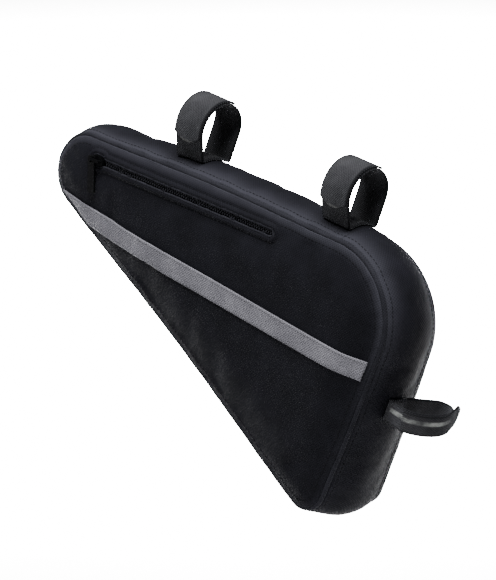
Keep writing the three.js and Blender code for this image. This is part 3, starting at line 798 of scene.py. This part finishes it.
def row_piece(name, lines, spacing, size, material, seed, unevenness=0.0):
    """lines is a list of (points in the row frame, outward ways), and the rest is in mm."""
    points = np.concatenate([line for line, _ in lines])
    ways = np.concatenate([way for _, way in lines])
    mesh = bpy.data.meshes.new(name)
    edges, first = [], 0
    for line, _ in lines:
        edges += [(first + i, first + i + 1) for i in range(len(line) - 1)]
        first += len(line)
    mesh.from_pydata([tuple(p) for p in points], edges, [])
    attribute = mesh.attributes.new("out", "FLOAT_VECTOR", "POINT")
    attribute.data.foreach_set("vector", ways.astype(np.float32).ravel())
    obj = bpy.data.objects.new(name, mesh)
    bpy.context.scene.collection.objects.link(obj)
    row = obj.modifiers.new("Row", "NODES")
    row.node_group = row_of_solids
    given = {"Spacing": spacing * MM, "Length": size[0] * MM, "Width": size[1] * MM, "Height": size[2] * MM,
             "Unevenness": unevenness, "Seed": seed, "Material": material}
    for socket in row_of_solids.interface.items_tree:
        if socket.in_out == "INPUT" and socket.name in given:
            row[socket.identifier] = given[socket.name]
    graph = bpy.context.evaluated_depsgraph_get()
    plain = bpy.data.meshes.new_from_object(obj.evaluated_get(graph))
    obj.modifiers.clear()
    obj.data = plain
    plain.name = name
    plain.shade_smooth()
    if not plain.materials:
        plain.materials.append(material)
    return obj


def line_on_left(s, t, lift):
    """A line of places over the left panel's face, and the way out of the face at each."""
    points = on_left(s, t, lift)
    step = 0.8
    wide = on_left(s, t + step, lift) - on_left(s, t - step, lift)
    long = on_left(s - step, t, lift) - on_left(s + step, t, lift)
    ways = unit(np.cross(wide, long))
    return points, ways * -np.sign(ways[:, 1:2])


COIL = {"drop": 1.6, "pitch": 2.1, "tooth": (1.3, 2.3, 1.4), "offset": 0.95, "points": 160}
SLIDER_LENGTH = 11
SLIDER_END_SPACE = 1

# Drawn nylon wire: dull, with a small soft gleam on the back of each loop.
coil_nylon = smooth_solid("zip_coil_nylon", "#1c1c21", 0.6, 0.12, 900)
coil_front = zip_front - SLIDER_END_SPACE - SLIDER_LENGTH
teeth = []
for row, shift in ((-1, 0), (1, COIL["pitch"] / 2)):
    s = np.linspace(coil_front - 1 - shift, zip_rear + COIL_SLOT - shift, COIL["points"])
    teeth.append(line_on_left(s, zip_line(s) + row * COIL["offset"], -COIL["drop"]))
zip_teeth = row_piece("zip_teeth", teeth, COIL["pitch"], COIL["tooth"], coil_nylon, 3)
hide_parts("zip_coil")
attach(zip_teeth, "root")

# Slot lips
# The slot's edge is turned over a thin cord and sewn down, so that it doesn't fray.
# The lower lip catches the light from above, and the upper one throws a shadow on the teeth.

LIP = {"radius": 0.8, "lift": -0.5, "sides": 10, "wave": 0.06, "turns": (23, 41, 67)}
OUTLINE = {"straight": 200, "bend": 24, "points": 461, "eased": 4}


def eased(line, times):
    """Rounds the corners of a closed line."""
    for _ in range(times):
        line = line * 0.5 + (np.roll(line, 1, 0) + np.roll(line, -1, 0)) * 0.25
    return line


def around_slot(slot, grow):
    rear, front, half = slot
    ahead = unit(front - rear)
    below = np.array([-ahead[1], ahead[0]])
    reach = half + grow
    share = np.linspace(0, 1, OUTLINE["straight"])[:, None]
    bow = np.linspace(-math.pi / 2, math.pi / 2, OUTLINE["bend"])[1:-1, None]
    bend = reach * (ahead * np.cos(bow) + below * np.sin(bow))
    upper = rear + (front - rear) * share - below * reach
    lower = front + (rear - front) * share + below * reach
    return np.concatenate([upper, front + bend, lower, rear - bend])


def kept_run(line, keep):
    """The part of a closed line that is kept, from one end of the gap to the other."""
    at = np.flatnonzero(keep)
    step = np.diff(at)
    if step.max() > 1:
        at = np.roll(at, -np.argmax(step) - 1)
    return line[at]


def slot_outline(grow):
    """The closed line that runs grow mm outside the slot's edge, as s and t."""
    narrow, wide = around_slot(along_coil, grow), around_slot(at_slider, grow)
    parts = [kept_run(narrow, outside(at_slider, *narrow.T) > grow),
             kept_run(wide, outside(along_coil, *wide.T) > grow)]
    line = np.concatenate(parts + [parts[0][:1]])
    run = run_along(line)
    at = np.linspace(0, run[-1], OUTLINE["points"])[:-1]
    line = eased(places_at(line, run, at), OUTLINE["eased"])
    return np.append(line[:, 0], line[0, 0]), np.append(line[:, 1], line[0, 1])


s, t = slot_outline(0)
lip_path, lip_out = line_on_left(s, t, LIP["lift"])
lip_side = np.cross(unit(np.gradient(lip_path, axis=0)), lip_out)
lip_wave = waves(np.random.default_rng(5), np.linspace(0, 1, len(s)), [1 / turns for turns in LIP["turns"]])
# The lips are of the piping's paler cloth: a painted highlight along them.
lips = swept("zip_slot_lips", lip_path, (lip_out, lip_side), LIP["sides"],
             LIP["radius"] + LIP["wave"] * lip_wave, highlit_bias_nylon)
face_outward(lips)
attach(lips, "root")

# Slider and pull
# A die-cast zinc slider, painted black, with a long flat pull on its front post.
# The casting's edges are rounded.

CAST_EDGE = 0.3

# Paint over cast zinc: the darkest spot of the bag, with a thin soft line of light on its edges.
painted_zinc = smooth_solid("painted_zinc", "#030304", 0.5, 0.06, 500)
for node in ("zip_slider", "zip_pull"):
    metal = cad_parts[node]
    metal.data.materials.clear()
    metal.data.materials.append(painted_zinc)
    rounded = metal.modifiers.new("Edges", "BEVEL")
    rounded.width = CAST_EDGE * MM
    rounded.segments = 2
    rounded.limit_method = "ANGLE"

# Reflective stripe
# A grey woven tape with a layer of glass beads, sewn across the panel along both its edges.
# It is bare.

STRIPE = {"front": 48, "rear": 69.3, "width": 14.2, "thickness": 0.8, "lift": 1.1, "margin": 3.4,
          "cells": (14, 220)}


def stripe_edge(drop):
    """Where an edge of the stripe meets the seam's inner side, front and rear, and its t for any s."""
    fall = (STRIPE["rear"] - STRIPE["front"]) / PANEL_LENGTH
    front = REAR_TOP + PANEL_LENGTH

    def level(s):
        return SEAM_TOP + STRIPE["front"] + drop + (front - s) * fall
    inner = seam - outward * STRIPE["margin"]
    above = inner[:, 1] - level(inner[:, 0])
    after = np.roll(above, -1)
    found = []
    for i in np.flatnonzero((above < 0) != (after < 0)):
        share = above[i] / (above[i] - after[i])
        found.append(inner[i, 0] + share * (np.roll(inner, -1, 0)[i, 0] - inner[i, 0]))
    return (max(found), min(found)), level


upper_edge, lower_edge = stripe_edge(0), stripe_edge(STRIPE["width"])

# Glass beads on grey cloth: an even mid grey from every side, finely broken by the tape's cross
# weave. Its ribs are 0.4 mm apart, and are drawn at 1 mm.
reflective_tape = woven("retroreflective_tape", "#444348", "#747379", relief=0.6, roughness=0.6, sheen=0.0,
                        patch=0.25)
stripe = strip_on_left("reflective_stripe_tape", upper_edge, lower_edge, STRIPE["lift"], STRIPE["thickness"],
                       STRIPE["cells"], reflective_tape)
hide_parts("reflective_stripe")
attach(stripe, "root")

# Straps
# Hook-and-loop webbing: a band goes round the tube and through the bag's top or rear, and its
# free end is pressed back onto itself. Two straps go round the top tube, a narrower one round
# the seat tube.

TUBES = {"top": 17.5, "seat": 15.9}
STRAP = 1.5
GAP = 0.3
SEAT_LEAN = math.radians(4.8)
SEAT_TILT = math.tan(math.radians(9))
TOP_STRAP = {"tube": "top", "width": TOP_STRAP_WIDTH, "foot": 13, "end": (203, 62), "lift": 1.6, "askew": 0}
STRAPS = [
    {"node": "front_strap", "at": FRONT_STRAP_AT, **TOP_STRAP},
    {"node": "rear_strap", "at": 100, **TOP_STRAP},
    {"node": "seat_tube_strap", "at": 127, "tube": "seat", "width": 16, "foot": 9, "end": (48, 190),
     "lift": 2.6, "askew": 7},
]


def selvedge(at):
    """The webbing's dark woven edges, from this far off its middle."""
    def mark(tree, place, axes, shade):
        across = maths(tree, "ABSOLUTE", axes["Y"])
        return blended(tree, mapped(tree, across, (at - 0.5, at + 0.4)), shade, srgb("#0e0e10"))
    return mark


def pale_strip(low, high, colour):
    """A broken pale strip along the outer face, that ends short of the strap's tip."""
    def mark(tree, place, axes, shade):
        broken = noise(tree, place, scale=0.07, detail=3.0)
        factor = add(tree, "ShaderNodeAttribute", attribute_name="outer").outputs["Fac"]
        for value, span in ((axes["Y"], (low - 0.5, low + 0.5)), (axes["Y"], (high + 0.5, high - 0.5)),
                            (broken, (0.36, 0.62)), (axes["X"], (9.0, 15.0))):
            factor = maths(tree, "MULTIPLY", mapped(tree, value, span), factor)
        return blended(tree, factor, shade, srgb(colour))
    return mark


def cut_tip(tree, place, axes, shade):
    """The line where the strap's tip was cut with heat, paler than the rest."""
    return blended(tree, mapped(tree, axes["X"], (1.6, 0.9)), shade, srgb("#3a3a39"))


# Nylon pile that scatters light: paler than the flat cloth, and rough, between darker edges.
# Its loops are 0.5 mm apart, and are drawn at 1 and 0.8 mm.
PILE = {"pitch": (1.0, 0.8), "relief": 0.6, "roughness": 0.85, "sheen": 0.1, "patch": 0.3}
webbing = woven("hook_and_loop_webbing", "#131315", "#343436", marks=[selvedge(11.0), cut_tip], **PILE)

# The same pile, with a broken pale strip along its outer face.
narrow_webbing = woven("narrow_hook_and_loop_webbing", "#131315", "#2c2c2e",
                       marks=[selvedge(6.6), pale_strip(0.4, 3.4, "#727472"), cut_tip], **PILE)


def tube_spot(strap, w, degrees, radius):
    """A place round a tube, as s, y and t. 0 degrees is to the right and 90 away from the bag."""
    turn = np.radians(degrees)
    side, out = radius * np.cos(turn), radius * np.sin(turn)
    if strap["tube"] == "top":
        return np.stack(np.broadcast_arrays(strap["at"] - w, side, -out), -1)
    down = strap["at"] - w - SEAT_TILT * out
    s = down * math.sin(SEAT_LEAN) - out * math.cos(SEAT_LEAN)
    t = down * math.cos(SEAT_LEAN) + out * math.sin(SEAT_LEAN)
    return np.stack(np.broadcast_arrays(s, side, t), -1)


def gusset_spot(strap, w, y):
    """Where the strap's foot lies on the gusset, in the row frame."""
    if strap["tube"] == "top":
        target = np.array([strap["at"] - w, SEAM_TOP])
    else:
        target = tube_spot(strap, w, np.array(90.0), -2 * TUBES["seat"])[[0, 2]]
    run = seam_nearest(target[0], target[1])[1]
    half = seam_half_width(target[1])
    return on_gusset(np.full(len(y), run), y / half, GAP + STRAP / 2)


BAND = {"start": -16, "turns": 140, "foot": 30, "points": 240, "eased": 14, "uv_from": 10}
BAND_TOP = 70


def loop_path(strap, w):
    """The closed middle line of the band, w off its own middle, and its length in mm."""
    radius = TUBES[strap["tube"]] + GAP + STRAP / 2
    turns = np.linspace(BAND["start"], 180 - BAND["start"], BAND["turns"])
    band = in_row(*tube_spot(strap, w, turns, radius).T)
    foot = gusset_spot(strap, w, np.linspace(-strap["foot"], strap["foot"], BAND["foot"]))
    path = np.concatenate([band, foot])
    path = np.append(path, path[:1], 0)
    run = run_along(path)
    at = np.linspace(0, run[-1], BAND["points"] + 1)[:-1]
    return eased(places_at(path, run, at), BAND["eased"]), run[-1] / MM


def band_section(width, thickness):
    """Round-edged section, as offsets along the tube and off the strap."""
    half, r = width / 2, thickness / 2
    turn = np.linspace(-math.pi / 2, math.pi / 2, 7)
    flat = np.linspace(-half + r, half - r, 12)
    w = np.concatenate([flat, half - r + r * np.cos(turn), flat[::-1], -half + r - r * np.cos(turn)])
    o = np.concatenate([np.full(12, -r), r * np.sin(turn), np.full(12, r), -r * np.sin(turn)])
    return np.append(w, w[0]), np.append(o, o[0])


def strap_piece(name, points, along, section, material):
    """section is the offsets along the tube and off the strap, one for each row of points."""
    w, off = section
    uv = np.stack(np.broadcast_arrays(along[None], w[:, None]), -1)
    marks = {"outer": np.broadcast_to((off > 0)[:, None], points.shape[:2])}
    return grid_piece(name, points, uv, material, marks=marks)


def band_out(strap):
    """The way off the band at each point of its middle line."""
    middle = loop_path(strap, 0.0)[0]
    tangent = unit(np.roll(middle, -1, 0) - np.roll(middle, 1, 0))
    axis = loop_path(strap, 1.0)[0] - loop_path(strap, -1.0)[0]
    out = unit(np.cross(axis, tangent))
    if (out[BAND_TOP] @ (middle[BAND_TOP] - middle.mean(0))) < 0:
        return -out
    return out


def band_piece(strap, section, out, material):
    paths = {value: loop_path(strap, value)[0] for value in np.unique(np.round(section[0], 6))}
    wrap = np.append(np.arange(BAND["points"]), 0)
    points = np.stack([paths[round(a, 6)][wrap] + out[wrap] * b * MM for a, b in zip(*section)])
    along = np.linspace(0, loop_path(strap, 0.0)[1], BAND["points"] + 1) + BAND["uv_from"]
    return strap_piece(strap["node"] + "_band", points, along, section, material)


FREE_END = {"steps": 90, "lifted": 0.2, "askew": 0.45, "rounded": 7, "narrower": 1, "above": 0.05}


def free_end_piece(strap, section, material):
    """The end that is pressed onto the band. Its tip is rounded, and stands off a little."""
    share = np.linspace(0, 1, FREE_END["steps"])
    turns = strap["end"][0] + (strap["end"][1] - strap["end"][0]) * share
    raised = strap["lift"] * np.clip(1 - share / FREE_END["lifted"], 0, 1) ** 2
    askew = strap["askew"] * np.clip(1 - share / FREE_END["askew"], 0, 1) ** 2
    radius = TUBES[strap["tube"]] + GAP + STRAP * 1.5 + raised + FREE_END["above"]
    narrow = np.sqrt(np.clip(share * FREE_END["steps"] / FREE_END["rounded"], 0.05, 1))
    narrow = narrow * (strap["width"] - FREE_END["narrower"]) / strap["width"]
    rows = [in_row(*tube_spot(strap, a * narrow + askew, turns, radius + b).T) for a, b in zip(*section)]
    points = np.stack(rows)
    middles = points.mean(0)
    tip, root = (np.repeat(middles[k][None, None], len(rows), 0) for k in (0, -1))
    points = np.concatenate([tip, points, root], 1)
    arc = np.radians(np.abs(turns - turns[0])) * (TUBES[strap["tube"]] + 2 * STRAP)
    along = np.concatenate([arc[:1], arc, arc[-1:]])
    return strap_piece(strap["node"] + "_free_end", points, along, section, material)


FOOT_STITCH = {"from_edge": 2, "from_end": 1, "points": 12, "lift": 0.8}
strap_stitches = []
for strap in STRAPS:
    material = webbing if strap["tube"] == "top" else narrow_webbing
    section = band_section(strap["width"], STRAP)
    out = band_out(strap)
    band = band_piece(strap, section, out, material)
    end = free_end_piece(strap, section, material)
    for piece in (band, end):
        face_outward(piece)
        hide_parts(strap["node"])
        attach(piece, "root")
    reach = strap["foot"] - FOOT_STITCH["from_end"]
    for edge in (-1, 1):
        w = edge * (strap["width"] / 2 - FOOT_STITCH["from_edge"])
        foot = gusset_spot(strap, w, np.linspace(-reach, reach, FOOT_STITCH["points"]))
        up = np.tile(out[BAND_TOP], (FOOT_STITCH["points"], 1))
        strap_stitches.append((foot + up * FOOT_STITCH["lift"] * MM, up))

# Stitches
# Black bonded polyester thread in a lockstitch of about 3 mm, sewn in lines beside the piping,
# round the slot, along the stripe and across the straps' feet.

# Waxed black thread that lies in the cloth: it hardly shows but for the dimples round it.
thread = smooth_solid("bonded_polyester_thread", "#0b0b0e", 0.7, 0.05, 1500)

# The same thread dyed grey to go with the stripe, a little darker than the tape.
grey_thread = smooth_solid("grey_polyester_thread", "#4c4c50", 0.7, 0.05, 1500)
SEAM_STITCH = {"inside": 5.2, "gusset": 4.2, "lift": 0.1, "clear_of_slot": 7}


def seam_row(side, inside):
    """A line of places on a panel's face, this far inside the seam, and the ways out of it."""
    rows = []
    for deeper in (0, 1):
        s, t = (seam[CLOSED] - outward[CLOSED] * inside - outward[CLOSED] * deeper).T
        rows.append(in_row(s, side * (skin_y(side, s, t) + SEAM_STITCH["lift"]), t + side * LEAN))
    ways = unit(np.cross(rows[1] - rows[0], np.gradient(rows[0], axis=0)))
    return rows[0], ways * (side * np.sign(ways[:, 1:2]))


panel_rows = [seam_row(side, SEAM_STITCH["inside"]) for side in (-1, 1)]
sewn_s, sewn_t = (seam[CLOSED] - outward[CLOSED] * SEAM_STITCH["inside"]).T
clear = np.flatnonzero(slot_distance(sewn_s, sewn_t)[:-1] > SEAM_STITCH["clear_of_slot"])
clear = np.roll(clear, -np.argmax(np.diff(clear)) - 1)
panel_rows[0] = tuple(part[clear] for part in panel_rows[0])
panel_rows.append(line_on_left(*slot_outline(GROOVE["at"]), SEAM_STITCH["lift"]))
gusset_rows = []
for side in (-1, 1):
    half = seam_half_width(along_seam(around, seam[:, 1]))
    across = side * (1 - SEAM_STITCH["gusset"] / half)
    way = np.stack([along_seam(around, outward[:, k]) for k in (0, 1)], -1)
    ways = (in_row(way[:, 0], 0, way[:, 1]) - in_row(0, 0, 0)) / MM
    gusset_rows.append((on_gusset(around, across, SEAM_STITCH["lift"]), ways))
STRIPE_STITCH = {"from_edge": 1.3, "from_end": 1, "points": 220, "lift": 0.05}
stripe_rows = []
for (ends, level), down in ((upper_edge, 1), (lower_edge, -1)):
    s = np.linspace(ends[0] - STRIPE_STITCH["from_end"], ends[1] + STRIPE_STITCH["from_end"],
                    STRIPE_STITCH["points"])
    t = level(s) + down * STRIPE_STITCH["from_edge"]
    stripe_rows.append(line_on_left(s, t, STRIPE["lift"] + STRIPE_STITCH["lift"]))
STITCH = {"long": 0.78, "wide": 0.55, "high": 0.45, "unevenness": 0.12}
for name, rows, material, slot, pitch, seed in (
        ("seam_stitches", panel_rows, thread, "padded_cloth", 3.1, 1),
        ("gusset_stitches", gusset_rows, thread, "padded_cloth", 3.1, 2),
        ("stripe_stitches", stripe_rows, grey_thread, "reflective_tape", 2.8, 4),
        ("strap_stitches", strap_stitches, thread, "webbing", 2.6, 6)):
    size = (pitch * STITCH["long"], STITCH["wide"], STITCH["high"])
    piece = row_piece(name, rows, pitch, size, material, seed, STITCH["unevenness"])
    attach(piece, "root")

# Floor, light and camera
# A pale floor well under the bag, a large soft light overhead, a weaker one from the left, and one
# that lights only the floor behind. The camera has the photograph's viewing angle and a long lens.

CENTRE = Vector((0.036, 0.0, -0.108))
FLOOR = {"half": 15, "z": -0.5}

# Pale matt paint with a faint mottle, that gives the bag a plain white ground.
paint, tree = blank("pale_floor_paint")
mottle = noise(tree, add(tree, "ShaderNodeTexCoord").outputs["Object"], scale=3.0, detail=3.0)
tone = mapped(tree, mottle, (0.0, 1.0), (0.55, 0.65))
shaded(tree, {"Base Color": srgb("#e8e8e8"), "Roughness": tone})
corners = ((-1, -1), (1, -1), (1, 1), (-1, 1))
floor_points = [(x * FLOOR["half"], y * FLOOR["half"], FLOOR["z"]) for x, y in corners]
floor = add_mesh("floor", floor_points, [(0, 1, 2, 3)])
floor.data.materials.append(paint)

world = bpy.data.worlds.new("studio")
world.use_nodes = True
sky = world.node_tree.nodes["Background"].inputs
sky["Color"].default_value = srgb("#f2f3f5")
sky["Strength"].default_value = 0.2
bpy.context.scene.world = world


def softbox(name, place, size, watts, aim=CENTRE, spread=180):
    light = bpy.data.lights.new(name, "AREA")
    light.shape = "RECTANGLE"
    light.size, light.size_y = size
    light.energy = watts
    light.spread = math.radians(spread)
    lamp = bpy.data.objects.new(name, light)
    lamp.location = place
    lamp.rotation_euler = (aim - Vector(place)).to_track_quat("-Z", "Y").to_euler()
    bpy.context.scene.collection.objects.link(lamp)


softbox("overhead_softbox", (0.4, -0.42, 1.7), (1.6, 0.8), 170)
softbox("side_softbox", (-1.6, -1.5, 0.5), (1.2, 1.2), 2)
behind_bag = Vector((-1.65, 1.85, FLOOR["z"]))
softbox("backdrop_softbox", (behind_bag.x, behind_bag.y, 3.6), (0.5, 0.5), 1500, behind_bag, 62)

lens = bpy.data.cameras.new("camera")
lens.lens = 262
lens.sensor_width = 36
lens.clip_end = 60
camera = bpy.data.objects.new("camera", lens)
camera.location = (1.942, -2.018, 0.4655)
camera.rotation_euler = (CENTRE - camera.location).to_track_quat("-Z", "Y").to_euler()
bpy.context.scene.collection.objects.link(camera)
bpy.context.scene.camera = camera
